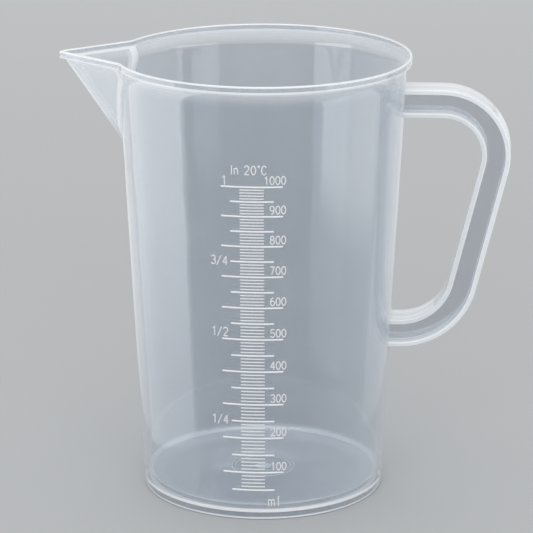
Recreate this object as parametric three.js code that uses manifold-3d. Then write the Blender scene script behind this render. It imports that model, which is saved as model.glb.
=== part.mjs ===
// A one litre measuring jug, moulded in clear polypropylene.
// Millimetres, +Z up, standing on z = 0. The handle points along +X and the spout along -X.
// The graduated scale is raised on the -Y side, and its lines stand at the level of each volume.
import * as THREE from 'three';
import { mergeVertices } from 'three/addons/utils/BufferGeometryUtils.js';
import Module from 'manifold-3d';

const wasm = await Module();
wasm.setup();

// Body
const HEIGHT = 174;
const FOOT_RADIUS = 47.4; // outside of the wall at the bench
const MOUTH_RADIUS = 56.2; // outside of the plain wall, carried on up to the full height
const WALL = 1.5;
const INNER_CORNER = 2.5; // radius where the wall turns into the floor
const FOOT_HEIGHT = 3.2; // how far the floor's underside stands off the bench
const FOOT_WIDTH = 1.8;
const FOOT_EDGE = 0.6; // rounding of the foot's outer edge
const FLOOR = 1.6;

// Marks at the middle of the floor: a low ring, and the dimple left by the mould's gate
const RING_RADIUS = 11.8;
const RING_WIDTH = 1.4;
const RING_RELIEF = 0.3;
const GATE_RADIUS = 2;
const GATE_DEPTH = 0.5;

// Lip: the wall flares out into it
const LIP_OVERHANG = 1.7; // of the lip's outer face past the plain wall's at the top
const FLARE_START = 9; // below the top
const LIP_HEIGHT = 2.6; // the upright part
const LIP_EDGE = 0.5;

// Spout
const SPOUT_REACH = 79.3; // from the jug's axis to the tip
const SPOUT_HALF_ANGLE = 22; // degrees round the mouth from the spout's middle to where it joins
const SPOUT_DEPTH = 36; // keel's foot below the top
const SPOUT_WALL = 1.5;
const SPOUT_INNER_RADIUS = 0.7; // round of the channel's bottom
const SPOUT_LIP_HEIGHT = 2.9;
const SPOUT_LEDGE = 1.9; // depth of the upright inside of the spout's lip

// Handle, an I section: two flanges and a web, as a closed bow from the wall to the wall
const HANDLE_TOP = 162.3;
const HANDLE_BOTTOM = 58.6;
const HANDLE_REACH = 96.4; // from the jug's axis to the outermost face
const HANDLE_LEAN = 13.75; // degrees that the grip leans in towards its foot
const HANDLE_DEPTH = 11.1; // section, outer face to inner face
const FLANGE_WIDTH = 14.2;
const FLANGE = 2;
const WEB = 1.6;
const UPPER_BEND = 26; // radii of the outer face
const LOWER_BEND = 31;

// Scale
const SCALE_FIRST = 50; // millilitres
const SCALE_LAST = 1000;
const SCALE_STEP = 10;
const SCALE_MIDDLE_STEP = 50;
const SCALE_LONG_STEP = 100;
const SHORT_LINE = 9.1; // lengths round the wall
const MIDDLE_LINE = 16.4;
const LONG_LINE = 23.4;
const SHORT_LINE_WIDTH = 0.6;
const MAIN_LINE_WIDTH = 0.8; // of the middle and long lines
const LINE_RELIEF = 0.3;

// Pieces that meet on a curved face stand this far apart
const CLEARANCE = 0.3;
// How far a cutter runs past the face it starts from
const OVERRUN = 1;

const ROUND = 72; // facets round the jug
const ARC = 2; // curve segments of a profile's arc, each drawn as two facets
const BEND = 7; // curve segments of a handle bend
const LINE_FACET = THREE.MathUtils.degToRad(8);

const floorTop = FOOT_HEIGHT + FLOOR;
const flareZ = HEIGHT - FLARE_START;
const taper = (MOUTH_RADIUS - FOOT_RADIUS) / HEIGHT;
const outerRadius = (z) => FOOT_RADIUS + taper * z;
const innerRadius = (z) => outerRadius(z) - WALL;

// The flare is an arc that leaves the wall upright and ends under the lip's upright part
const flareHeight = FLARE_START - LIP_HEIGHT;
const lipRadius = MOUTH_RADIUS + LIP_OVERHANG;
const flareReach = lipRadius - outerRadius(flareZ);
const flareRadius = (flareHeight ** 2 + flareReach ** 2) / (2 * flareReach);
const flareTurn = Math.asin(flareHeight / flareRadius);
const flareX = outerRadius(flareZ) + flareRadius;
const lipInnerRadius = flareX - (flareRadius + WALL) * Math.cos(flareTurn);

/** A closed three.js geometry as a solid that can be joined and cut, with its faces pointing out. */
function solid(geometry) {
  const bare = geometry.clone();
  bare.deleteAttribute('normal');
  bare.deleteAttribute('uv');
  const merged = mergeVertices(bare, 1e-4);
  const vertProperties = new Float32Array(merged.attributes.position.array);
  const corner = (i) => new THREE.Vector3().fromArray(vertProperties, 3 * i);
  const triangles = [];
  let volume = 0;
  for (let i = 0; i < merged.index.count; i += 3) {
    const [a, b, c] = merged.index.array.slice(i, i + 3);
    if (a === b || b === c || c === a) continue;
    triangles.push([a, b, c]);
    volume += corner(a).dot(corner(b).cross(corner(c)));
  }
  const outward = volume > 0 ? triangles : triangles.map(([a, b, c]) => [a, c, b]);
  const triVerts = new Uint32Array(outward.flat());
  return new wasm.Manifold(new wasm.Mesh({ numProp: 3, vertProperties, triVerts }));
}

/** A solid as a named mesh of the jug's plastic. */
function piece(name, body) {
  const { vertProperties, triVerts } = body.getMesh();
  const geometry = new THREE.BufferGeometry();
  geometry.setAttribute('position', new THREE.BufferAttribute(vertProperties, 3));
  geometry.setIndex(new THREE.BufferAttribute(triVerts, 1));
  geometry.computeVertexNormals();
  const plastic = new THREE.MeshStandardMaterial({
    color: 0xdce6ef,
    roughness: 0.22,
    metalness: 0,
    transparent: true,
    opacity: 0.4,
  });
  const mesh = new THREE.Mesh(geometry, plastic);
  mesh.name = name;
  return mesh;
}

/** A profile of radius and height, turned about the jug's axis. */
function turned(profile) {
  const points = profile.getPoints(ARC);
  return solid(new THREE.LatheGeometry(points, ROUND).rotateX(Math.PI / 2));
}

/** A plan outline, raised from one height to another. */
function raised(shape, bottom, top, curveSegments = ARC) {
  const options = { depth: top - bottom, bevelEnabled: false, curveSegments };
  return new THREE.ExtrudeGeometry(shape, options).translate(0, 0, bottom);
}

/** Everything inside the jug's outer face, grown by a gap. It cuts what is joined on outside. */
function envelope(gap) {
  const profile = new THREE.Path();
  profile.moveTo(0, -OVERRUN);
  profile.lineTo(outerRadius(-OVERRUN) + gap, -OVERRUN);
  profile.lineTo(outerRadius(flareZ) + gap, flareZ);
  profile.absarc(flareX, flareZ, flareRadius - gap, Math.PI, Math.PI - flareTurn, true);
  profile.lineTo(lipRadius + gap, HEIGHT + OVERRUN);
  profile.lineTo(0, HEIGHT + OVERRUN);
  profile.closePath();
  return turned(profile);
}

/** The ring that the jug stands on. */
function footRing() {
  const profile = new THREE.Path();
  profile.moveTo(FOOT_RADIUS - FOOT_WIDTH, 0);
  profile.lineTo(FOOT_RADIUS - FOOT_EDGE, 0);
  profile.absarc(FOOT_RADIUS - FOOT_EDGE, FOOT_EDGE, FOOT_EDGE, -Math.PI / 2, 0, false);
  profile.lineTo(outerRadius(FOOT_HEIGHT), FOOT_HEIGHT);
  profile.lineTo(outerRadius(FOOT_HEIGHT) - FOOT_WIDTH, FOOT_HEIGHT);
  profile.closePath();
  return turned(profile);
}

/** The flat floor, out to the jug's outer face. */
function floorDisc() {
  const ringTop = floorTop + RING_RELIEF;
  const profile = new THREE.Path();
  profile.moveTo(0, FOOT_HEIGHT);
  profile.lineTo(outerRadius(FOOT_HEIGHT), FOOT_HEIGHT);
  profile.lineTo(outerRadius(floorTop), floorTop);
  profile.lineTo(RING_RADIUS + RING_WIDTH / 2, floorTop);
  profile.lineTo(RING_RADIUS + RING_WIDTH / 2 - RING_RELIEF, ringTop);
  profile.lineTo(RING_RADIUS - RING_WIDTH / 2 + RING_RELIEF, ringTop);
  profile.lineTo(RING_RADIUS - RING_WIDTH / 2, floorTop);
  profile.lineTo(GATE_RADIUS, floorTop);
  profile.lineTo(0, floorTop - GATE_DEPTH);
  profile.closePath();
  return turned(profile);
}

/** The tapered wall from the floor to the flare, without its scale. */
function plainWall() {
  const cornerZ = floorTop + INNER_CORNER;
  const cornerX = innerRadius(cornerZ) - INNER_CORNER;
  const profile = new THREE.Path();
  profile.moveTo(cornerX, floorTop);
  profile.lineTo(outerRadius(floorTop), floorTop);
  profile.lineTo(outerRadius(flareZ), flareZ);
  profile.lineTo(innerRadius(flareZ), flareZ);
  profile.absarc(cornerX, cornerZ, INNER_CORNER, 0, -Math.PI / 2, true);
  return turned(profile);
}

/** The flared lip round the mouth. */
function flaredRim() {
  const profile = new THREE.Path();
  profile.moveTo(innerRadius(flareZ), flareZ);
  profile.lineTo(outerRadius(flareZ), flareZ);
  profile.absarc(flareX, flareZ, flareRadius, Math.PI, Math.PI - flareTurn, true);
  profile.lineTo(lipRadius, HEIGHT - LIP_EDGE);
  profile.absarc(lipRadius - LIP_EDGE, HEIGHT - LIP_EDGE, LIP_EDGE, 0, Math.PI / 2, false);
  profile.lineTo(lipInnerRadius, HEIGHT);
  profile.absarc(flareX, flareZ, flareRadius + WALL, Math.PI - flareTurn, Math.PI, false);
  return turned(profile);
}

/** Plan of the spout's V, drawn in by an inset: straight sides, tangent to a round tip. */
function spoutPlan(inset) {
  const tipRadius = SPOUT_INNER_RADIUS + SPOUT_WALL;
  const tipX = tipRadius - SPOUT_REACH;
  const turn = THREE.MathUtils.degToRad(SPOUT_HALF_ANGLE);
  const join = new THREE.Vector2(-lipRadius * Math.cos(turn) - tipX, lipRadius * Math.sin(turn));
  // Direction in which a side faces, from the tangent between the tip's round and the join
  const facing = join.angle() + Math.acos(tipRadius / join.length());
  const along = new THREE.Vector2(Math.sin(facing), -Math.cos(facing));
  const radius = tipRadius - inset;
  const start = new THREE.Vector2(Math.cos(facing), Math.sin(facing)).multiplyScalar(radius);
  // The sides run on past the join, through the wall at every height
  const sideLength = join.length() + lipRadius - innerRadius(0);
  const back = start.clone().addScaledVector(along, sideLength);
  const shape = new THREE.Shape();
  shape.moveTo(tipX + back.x, back.y);
  shape.lineTo(tipX + start.x, start.y);
  shape.absarc(tipX, 0, radius, facing, 2 * Math.PI - facing, false);
  shape.lineTo(tipX + back.x, -back.y);
  shape.closePath();
  return shape;
}

/** The V carried down along the keel, which slopes in from the tip to the wall. */
function spoutWedge(inset, top) {
  const keelSlope = (SPOUT_REACH - outerRadius(HEIGHT - SPOUT_DEPTH)) / SPOUT_DEPTH;
  const bottom = HEIGHT - SPOUT_DEPTH - OVERRUN;
  const lean = new THREE.Matrix4().makeShear(0, 0, 0, 0, -keelSlope, 0);
  const wedge = raised(spoutPlan(inset), bottom - HEIGHT, top - HEIGHT).applyMatrix4(lean);
  return solid(wedge.translate(0, 0, HEIGHT));
}

/** The channel that liquid runs out through: it opens the wall and the lip behind the spout. */
function spoutChannel() {
  const top = HEIGHT + OVERRUN;
  const upright = solid(raised(spoutPlan(SPOUT_WALL), HEIGHT - SPOUT_LEDGE, top));
  return spoutWedge(SPOUT_WALL, top).add(upright);
}

/** Two flat sides that meet in a keel, under an upright lip. */
function spoutShell() {
  const lip = solid(raised(spoutPlan(0), HEIGHT - SPOUT_LIP_HEIGHT, HEIGHT));
  return spoutWedge(0, HEIGHT).add(lip).subtract(spoutChannel()).subtract(envelope(CLEARANCE));
}

/** Level in the jug of a volume in millilitres, from the tapered inside and its rounded corner. */
function levelOf(millilitres) {
  const floorRadius = innerRadius(floorTop);
  const cornerArea = INNER_CORNER ** 2 * (1 - Math.PI / 4);
  const cornerVolume = Math.PI * (2 * floorRadius - INNER_CORNER) * cornerArea;
  const volume = millilitres * 1000 + cornerVolume;
  const radius = Math.cbrt(floorRadius ** 3 + (3 * taper * volume) / Math.PI);
  return floorTop + (radius - floorRadius) / taper;
}

/** Length and width of the line at a volume. */
function lineSize(millilitres) {
  if (millilitres % SCALE_LONG_STEP === 0) return [LONG_LINE, MAIN_LINE_WIDTH];
  if (millilitres % SCALE_MIDDLE_STEP === 0) return [MIDDLE_LINE, MAIN_LINE_WIDTH];
  return [SHORT_LINE, SHORT_LINE_WIDTH];
}

/** One raised line of the scale, sunk into the wall behind it. */
function scaleLine(level, length, width) {
  const radius = outerRadius(level);
  const half = length / radius / 2;
  const front = -Math.PI / 2;
  const shape = new THREE.Shape();
  shape.absarc(0, 0, radius + LINE_RELIEF, front - half, front + half, false);
  shape.absarc(0, 0, radius - WALL / 2, front + half, front - half, true);
  const facets = Math.ceil(half / LINE_FACET);
  return solid(raised(shape, level - width / 2, level + width / 2, facets));
}

/** The wall with its scale, up to the last line that stands clear of the flare. */
function graduatedWall() {
  let wall = plainWall();
  for (let volume = SCALE_FIRST; volume <= SCALE_LAST; volume += SCALE_STEP) {
    const level = levelOf(volume);
    const [length, width] = lineSize(volume);
    if (level + width > flareZ) break;
    wall = wall.add(scaleLine(level, length, width));
  }
  return wall;
}

/** A strip of the handle between two depths in from its outer face, cut to the wall. */
function handleStrip(from, to, width) {
  const lean = THREE.MathUtils.degToRad(HANDLE_LEAN);
  const upperX = HANDLE_REACH - UPPER_BEND;
  const upperZ = HANDLE_TOP - UPPER_BEND;
  const lowerZ = HANDLE_BOTTOM + LOWER_BEND;
  // The straight grip is tangent to both bends
  const offset = UPPER_BEND - LOWER_BEND - (upperZ - lowerZ) * Math.sin(lean);
  const lowerX = upperX + offset / Math.cos(lean);
  // The strip starts inside the jug, and the jug's outer face cuts it off
  const root = FOOT_RADIUS - HANDLE_DEPTH;
  const shape = new THREE.Shape();
  shape.moveTo(root, HANDLE_TOP - from);
  shape.lineTo(upperX, HANDLE_TOP - from);
  shape.absarc(upperX, upperZ, UPPER_BEND - from, Math.PI / 2, -lean, true);
  shape.absarc(lowerX, lowerZ, LOWER_BEND - from, -lean, -Math.PI / 2, true);
  shape.lineTo(root, HANDLE_BOTTOM + from);
  shape.lineTo(root, HANDLE_BOTTOM + to);
  shape.absarc(lowerX, lowerZ, LOWER_BEND - to, -Math.PI / 2, -lean, false);
  shape.absarc(upperX, upperZ, UPPER_BEND - to, -lean, Math.PI / 2, false);
  shape.lineTo(root, HANDLE_TOP - to);
  shape.closePath();
  const strip = raised(shape, -width / 2, width / 2, BEND).rotateX(Math.PI / 2);
  return solid(strip).subtract(envelope(CLEARANCE));
}

const channel = spoutChannel();
const jug = new THREE.Group();
jug.add(
  piece('foot_ring', footRing()),
  piece('floor', floorDisc()),
  piece('side_wall', graduatedWall().subtract(channel)),
  piece('rim', flaredRim().subtract(channel)),
  piece('spout', spoutShell()),
  piece('handle_outer_flange', handleStrip(0, FLANGE, FLANGE_WIDTH)),
  piece('handle_web', handleStrip(FLANGE, HANDLE_DEPTH - FLANGE, WEB)),
  piece('handle_inner_flange', handleStrip(HANDLE_DEPTH - FLANGE, HANDLE_DEPTH, FLANGE_WIDTH)),
);
// The origin is under the middle of the jug's length, between the spout's tip and the handle
jug.position.x = (SPOUT_REACH - HANDLE_REACH) / 2;

export default jug;
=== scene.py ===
"""A clear measuring jug in moulded polypropylene, with a raised scale, in a small pale studio."""
import math

import bmesh
import bpy
from bpy.props import FloatProperty, FloatVectorProperty, PointerProperty
from bpy.types import Operator, Panel, PropertyGroup
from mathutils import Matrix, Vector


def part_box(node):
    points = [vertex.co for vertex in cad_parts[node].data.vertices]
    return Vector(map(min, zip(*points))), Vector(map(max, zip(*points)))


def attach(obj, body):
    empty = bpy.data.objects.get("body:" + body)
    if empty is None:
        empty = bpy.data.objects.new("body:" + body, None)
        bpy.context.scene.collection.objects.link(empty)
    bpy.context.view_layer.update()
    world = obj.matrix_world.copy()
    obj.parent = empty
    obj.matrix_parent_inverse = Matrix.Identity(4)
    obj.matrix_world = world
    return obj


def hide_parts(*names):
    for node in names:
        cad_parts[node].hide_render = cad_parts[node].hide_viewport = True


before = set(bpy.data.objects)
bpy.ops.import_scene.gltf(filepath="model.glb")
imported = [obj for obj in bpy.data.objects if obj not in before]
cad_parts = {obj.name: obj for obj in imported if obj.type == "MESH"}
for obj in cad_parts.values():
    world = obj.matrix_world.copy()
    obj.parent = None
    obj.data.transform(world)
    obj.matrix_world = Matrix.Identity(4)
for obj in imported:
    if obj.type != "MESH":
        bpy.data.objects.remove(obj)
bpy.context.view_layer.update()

bl_info = {
    "name": "Measuring Jug",
    "version": (1, 0, 0),
    "blender": (4, 5, 0),
    "location": "View3D > Sidebar > Jug",
    "description": "Builds a clear measuring jug with a raised scale, and a studio round it",
    "category": "Add Mesh",
}

MM = 0.001
SMOOTH_BELOW = math.radians(40)

# Overall sizes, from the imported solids
FOOT_LOW, FOOT_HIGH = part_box("foot_ring")
AXIS_X = (FOOT_LOW.x + FOOT_HIGH.x) / 2
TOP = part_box("rim")[1].z
LIP_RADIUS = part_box("rim")[1].y
SPOUT_REACH = AXIS_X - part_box("spout")[0].x
HANDLE_LOW, HANDLE_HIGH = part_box("handle_outer_flange")
MOUTH_RADIUS = 56.2 * MM  # of the plain wall, carried up to the top

# Columns of the bowl's grid, from the spout's middle round to the handle
TIP_COLUMNS, SIDE_COLUMNS, FOLD_COLUMNS, WALL_COLUMNS = 5, 24, 8, 100
FOLD_START = TIP_COLUMNS + SIDE_COLUMNS
SEAM_COLUMNS = {*range(TIP_COLUMNS + 1), *range(FOLD_START + 1, FOLD_START + FOLD_COLUMNS)}

# Angles from the spout's middle: the most and the least to its join, the fold there and the tip
SPOUT_LIMIT = math.radians(60)
LEAST_JOIN = math.radians(3)
FOLD_ANGLE = math.radians(2.1)
TIP_ANGLE = math.radians(1.8)
JOIN_STEPS = 40  # halvings in the search for the join
SPREAD_DEPTH = 25 * MM  # below the spout, where its columns spread out again

# Rows of the grid below the spout, beside it and in the flare, and where the plain wall starts
LOWER_ROWS, SPOUT_ROWS, FLARE_ROWS = 16, 26, 7
OUTER_START, INNER_START = 12 * MM, 14 * MM

# How far below the keel's foot the close rows start and the keel's line is followed
ROWS_BELOW, KEEL_BELOW = 4 * MM, 5 * MM

# Milkiness, from 0, clear, to 1, white; besides the plastic's own haze, the whiter values paint
# highlights and glows on edges, seams and lines
WHITE = 1.0
# The floor's haze, raised so that it looks lighter: its own haze and painted light
FLOOR_HAZE_AND_LIGHT = 0.28
FOOT_MILK = 0.1
OUTER_PAINTED_GLOW = 0.35
LIP_MILK = 0.15
LIP_FOOT_HIGHLIGHT = 0.5
INNER_PAINTED_GLOW = 0.3
UNDER_FILLET_PAINTED_LIGHT = 0.4
RING_EDGE_HIGHLIGHT = 0.8
BAND_HAZE_AND_LIGHT = 0.66
FLOW_MILK = 0.1
# White seams down the spout's folds: painted highlights
OUTER_SEAM_HIGHLIGHT = 0.75
INNER_SEAM_HIGHLIGHT = 0.9
LEAST_SEAM_HIGHLIGHT = 0.4
SIDE_SHARE = 0.12  # of the spout's sides, to that of their seams
FADE = 0.25 * MM  # height in which a white edge goes clear

# The spout's inside: the line at the ledge, a painted highlight, the wall from just below it, and the
# seam's fade
LINE_ABOVE, LINE_BELOW, LINE_FADE = 0.3 * MM, 0.1 * MM, 0.15 * MM
LEDGE_GAP = 0.5 * MM
SEAM_FADE = 20 * MM

# The painted glow inside the flare, and the fades of the floor's low ring and of the foot's fillet
PAINTED_GLOW_FROM, PAINTED_GLOW_SPAN = 1.5 * MM, 3 * MM
RING_FADE, FILLET_FADE, FOOT_FADE = 0.3 * MM, 0.2 * MM, 0.5 * MM

# The flat floor: distance in from its corner, and radius of its next ring
FLOOR_INSET, FLOOR_RADIUS = 1.5 * MM, 30 * MM

# The underside, out to the foot: radius in mm and milkiness; the white ring near the foot is painted
# light
UNDERSIDE = ((20, 0.1), (39, 0.1), (39.3, 0.7), (40.2, 0.7), (40.5, 0.4))

# The outside above the foot's edge: height in mm and milkiness; its white bands are painted
# highlights, of the bottom edge and of the floor's thick edge seen through the wall
FOOT_HIGHLIGHT_BANDS = ((0.8, 1.0), (1.1, 0.1), (2.8, 0.1), (3.1, 1.0), (4.2, 1.0), (4.5, 0.1), (7.0, 0.0))

# The inner corner: milkiness along its arc, from the wall to the floor, whitest in the middle as a
# painted highlight
CORNER_HIGHLIGHT = (0.0, 0.1, 0.4, 0.9, 1.0, 0.9, FLOOR_HAZE_AND_LIGHT)

# The gate's dimple and its collar: distance past the dimple's edge and height in mm, and milkiness,
# white on the collar as a painted highlight
GATE_MARK = (
    (1.4, 0.0, FLOOR_HAZE_AND_LIGHT), (1.2, 0.08, 1.0), (0.75, 0.28, 1.0), (0.25, 0.33, 1.0),
    (-0.3, 0.08, 1.0), (-0.9, -0.28, 0.6), (-1.5, -0.45, 0.3),
)

# Ripple of the gloss
RIPPLE_HEIGHT = 0.4 * MM

# The handle: where its straight top starts, from the jug's axis, and the steps of its path
HANDLE_START = 57 * MM
STRAIGHT_STEPS, BEND_STEPS = 4, 24
SECTION_STEP = 0.45 * MM
ROOT_SUNK = 0.05 * MM
BAND_HIGHLIGHT_WIDTH = 0.5 * MM
WEB_CLEAR = 0.8  # of the root's fillet that is clear
FINE_FLOW, WIDE_FLOW = 2.3, 0.9  # waves of the flow lines, in radians for each mm

# The scale: its volumes in millilitres, its letters and its strokes
MILLILITRE = 1e-6
LINES = range(50, 1001, 10)
NUMBERS = range(100, 1001, 100)
FINE_STEPS, MAIN_STEPS = 6, 12
DIGIT_WIDTH = 0.54  # to its height
LETTER_SQUEEZE = 0.93
LETTER_GAP = 0.16  # to the letters' height
FIGURE_SUNK = 0.08 * MM
STROKE_DARK = 0.9  # darkest part of a stroke, to its lightest
STROKE_ROUGHNESS = 0.3

# Parts of a litre: volume, left end from the scale's middle and foot above the line, in mm
PARTS = (
    ("1", 1000, -11.4, 0.7), ("3/4", 750, -15.9, -1.6),
    ("1/2", 500, -15.9, 1.1), ("1/4", 250, -16.1, -1.4),
)

# Filling temperature and unit: left end, foot above the bench and height, in mm
NOTES = (("In 20oC", -7.9, 139.8, 3.4), ("ml", 5.7, 5.6, 4.0))

# Soft boxes for the whole room: the studio's name for the power, size, place and turn in degrees
SOFT_BOXES = (
    ("top_box", "top_light", (4.0, 4.0), (0.0, 0.2, 2.8), (0, 0, 0)),
    ("front_box", "front_light", (2.4, 1.0), (0.15, -1.9, 0.85), (68, 0, 4.5)),
    ("back_box", "back_light", (2.4, 1.0), (-0.15, 1.9, 0.85), (-68, 0, 4.5)),
)

# Upright strips for the gloss of the sides: share of the side light, height and width, place, turn in
# degrees, the share of the height over which a strip gets brighter, and its strength at the foot
STRIPS = (
    ("left_strip", 0.87, (0.2, 0.084), (-0.095, -0.033, 0.101), 0, 0.7, 0.5),
    ("right_strip", 0.65, (0.14, 0.14), (0.13, -0.06, 0.13), 180, 0.3, 0.0),
    ("left_rear_strip", 1.1, (0.15, 0.366), (-0.1, 0.197, 0.076), 0, 0.5, 0.6),
    ("right_rear_strip", 0.9, (0.15, 0.35), (0.1, 0.175, 0.076), 180, 0.5, 0.6),
)

# The lamp above, for the gloss of the edges
CROWN_SIZE = (0.7, 0.7)
CROWN_PLACE = (-0.02, 0.08, 1.0)

# The floor sheet, just below the foot
FLOOR_HALF = 8.0
FLOOR_GAP = 0.2 * MM
FLOOR_ROUGHNESS = 0.9


def length(name, description, default):
    """A length in metres, as a property."""
    return FloatProperty(
        name=name, description=description, default=default, unit="LENGTH", precision=4
    )


def degrees(name, description, default):
    """An angle given in degrees, as a property."""
    return FloatProperty(
        name=name, description=description, default=math.radians(default), subtype="ANGLE"
    )


def factor(name, description, default):
    """A share from 0 to 1, as a property."""
    return FloatProperty(
        name=name, description=description, default=default, subtype="FACTOR", min=0.0, max=1.0
    )


def power(name, description, default):
    """A lamp's power in watts, as a property."""
    return FloatProperty(
        name=name, description=description, default=default, unit="POWER", precision=3
    )


def colour(name, description, default):
    """A colour, as a property."""
    return FloatVectorProperty(
        name=name, description=description, default=default, subtype="COLOR",
        size=3, min=0.0, max=1.0,
    )


class JugBodySizes(PropertyGroup):
    """Sizes of the bowl, its foot and its lip."""

    height: length("Height", "From the bench to the top of the lip", TOP)
    foot_radius: length("Foot radius", "Outside of the wall at the bench", 47.4 * MM)
    mouth_radius: length("Mouth radius", "Plain wall, carried up to the top", MOUTH_RADIUS)
    wall: length("Wall", "Thickness of the wall", 1.5 * MM)
    floor: length("Floor", "Thickness of the floor", 1.6 * MM)
    corner: length("Inner corner", "Round between the wall and the floor", 2.5 * MM)
    foot_height: length("Foot height", "Underside of the floor off the bench", 3.2 * MM)
    foot_width: length("Foot width", "Width of the ring that the jug stands on", 1.8 * MM)
    foot_fillet: length("Foot fillet", "Round between the underside and the ring", 0.7 * MM)
    foot_edge: length("Foot edge", "Round of the ring's inner edge", 0.3 * MM)
    lip_overhang: length("Lip overhang", "Lip's face past the plain wall", LIP_RADIUS - MOUTH_RADIUS)
    lip_height: length("Lip height", "Upright part of the lip", 2.6 * MM)
    flare_start: length("Flare start", "Below the top", 9 * MM)
    edge: length("Edge", "Round of the lip's and the foot's outer edges", 0.5 * MM)
    lip_edge: length("Lip edge", "Round of the lip's inner edge", 0.35 * MM)
    ring_radius: length("Ring radius", "Low ring moulded on the floor", 11.8 * MM)
    ring_width: length("Ring width", "Width of that ring", 1.4 * MM)
    ring_relief: length("Ring relief", "Height of that ring", 0.3 * MM)
    gate_radius: length("Gate radius", "Dimple left by the mould's gate", 2 * MM)
    gate_depth: length("Gate depth", "Depth of that dimple", 0.5 * MM)


class JugSpoutSizes(PropertyGroup):
    """Sizes of the spout."""

    reach: length("Reach", "From the jug's axis to the tip", SPOUT_REACH)
    half_angle: degrees("Half angle", "Round the mouth, from the middle to where a side joins", 22)
    depth: length("Depth", "Foot of the keel below the top", 36 * MM)
    wall: length("Wall", "Thickness of the sides", 1.5 * MM)
    inner_round: length("Inner round", "Round of the channel's bottom", 0.7 * MM)
    lip_height: length("Lip height", "Upright lip outside", 2.9 * MM)
    lip_step: length("Lip step", "Height of that lip's underside", 0.3 * MM)
    lip_bead: length("Lip bead", "Round of that lip's lower edge", 0.6 * MM)
    lip_round: length("Lip round", "How far its upper edge is rounded in", 0.8 * MM)
    ledge: length("Ledge", "Upright lip inside", 2.5 * MM)
    fillet: length("Fillet", "Softness where the sides meet the wall", 0.8 * MM)


class JugHandleSizes(PropertyGroup):
    """Sizes of the handle, an I section."""

    top: length("Top", "Upper face above the bench", HANDLE_HIGH.z)
    bottom: length("Bottom", "Lower face above the bench", HANDLE_LOW.z)
    reach: length("Reach", "From the jug's axis to the outermost face", HANDLE_HIGH.x - AXIS_X)
    lean: degrees("Lean", "Of the grip, in towards its foot", 13.75)
    depth: length("Depth", "Section from the outer to the inner face", 11.1 * MM)
    width: length("Width", "Of the two bands", HANDLE_HIGH.y - HANDLE_LOW.y)
    band: length("Band", "Thickness of a band", 2 * MM)
    web: length("Web", "Thickness of the web", 1.6 * MM)
    upper_bend: length("Upper bend", "Radius of the outer face", 26 * MM)
    lower_bend: length("Lower bend", "Radius of the outer face", 31 * MM)
    edge: length("Edge", "Round of the bands' edges", 0.55 * MM)
    root: length("Root", "Fillet between the web and the bands", 0.9 * MM)


class JugScaleSizes(PropertyGroup):
    """Sizes of the scale's lines and figures."""

    short_line: length("Short line", "At each 10 ml", 9.1 * MM)
    middle_line: length("Middle line", "At each 50 ml", 16.4 * MM)
    long_line: length("Long line", "At each 100 ml", 23.4 * MM)
    short_width: length("Short line width", "At each 10 ml", 0.54 * MM)
    main_width: length("Main line width", "At each 50 and 100 ml", 0.68 * MM)
    relief: length("Relief", "Of the lines above the wall", 0.3 * MM)
    figure_height: length("Figure height", "Of the numbers", 3.1 * MM)
    figure_pitch: length("Figure pitch", "From a number's digit to the next", 2.15 * MM)
    figure_stroke: length("Figure stroke", "Width of the strokes", 0.5 * MM)
    figure_rise: length("Figure rise", "Of a number's foot above its line", 1.05 * MM)
    figure_edge: length("Figure edge", "Right edge of the numbers from the scale's middle", 12.8 * MM)
    part_height: length("Part height", "Of the parts of a litre", 3.4 * MM)
    part_pitch: length("Part pitch", "From a part's sign to the next", 2.3 * MM)


class JugPlastic(PropertyGroup):
    """Looks of the plastic."""

    tint: colour("Tint", "Seen through one face of the wall", (0.845, 0.872, 0.9))
    handle_tint: colour("Handle tint", "Seen through one face of the handle", (0.80, 0.825, 0.85))
    shadow_tint: colour("Shadow tint", "Lamp light let through one face", (0.97, 0.98, 0.99))
    milk: colour("Milk", "Light scattered in the plastic", (0.93, 0.95, 0.975))
    backlit: factor("Backlit", "Share of that light that comes from behind", 0.3)
    haze: factor("Haze", "Milkiness of a plain wall", 0.025)
    speck_haze: factor("Speck haze", "Milkiness of the fine specks", 0.12)
    # Slanting walls are hazier: longer paths through the haze, and a painted highlight of the side
    # lights
    side_haze: factor("Side haze", "Milkiness of a slanting wall", 0.06)
    edge_on_haze: factor("Edge-on haze", "Milkiness of a wall seen edge on", 0.5)
    # Scales the milk attribute, whose white edges, seams and glows are painted light
    edge_haze: factor("Edge haze", "Milkiness of lit edges", 0.95)
    mirror: factor("Mirror", "Gloss of a wall seen face on", 0.1)
    edge_on_mirror: factor("Edge-on mirror", "Gloss that a wall seen edge on has besides", 0.9)
    roughness: factor("Roughness", "Of the gloss", 0.08)
    ripple: factor("Ripple", "Waviness of the gloss", 0.06)
    fine_white: factor("Fine lines", "Whiteness of the scale's short lines", 0.78)
    main_white: factor("Main lines", "Whiteness of the scale's longer lines", 0.88)
    figure_white: factor("Figures", "Whiteness of the numbers and letters", 0.8)


class JugStudio(PropertyGroup):
    """The floor, the light and the camera."""

    floor: colour("Floor", "Pale floor", (0.45, 0.46, 0.47))
    side_light: power("Side light", "Strips beside the jug", 0.064)
    top_light: power("Top light", "Overhead soft box", 17.0)
    front_light: power("Front light", "Soft box before the scale", 21.0)
    back_light: power("Back light", "Soft box behind the jug", 10.0)
    crown_light: power("Crown light", "Lamp above, for gloss on edges", 2.5)
    ambient: factor("Ambient", "Strength of the surroundings", 0.75)
    lens: FloatProperty(name="Lens", description="Focal length", default=202.54, unit="CAMERA")
    camera_place: FloatVectorProperty(
        name="Camera place", description="Where the camera stands",
        default=(0.08035, -1.13205, 0.42185), subtype="TRANSLATION", size=3, precision=5,
    )
    camera_down: degrees("Camera down", "How far it looks down", 16.37)
    camera_turn: degrees("Camera turn", "How far it is turned to the left", 4.42)


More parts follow.
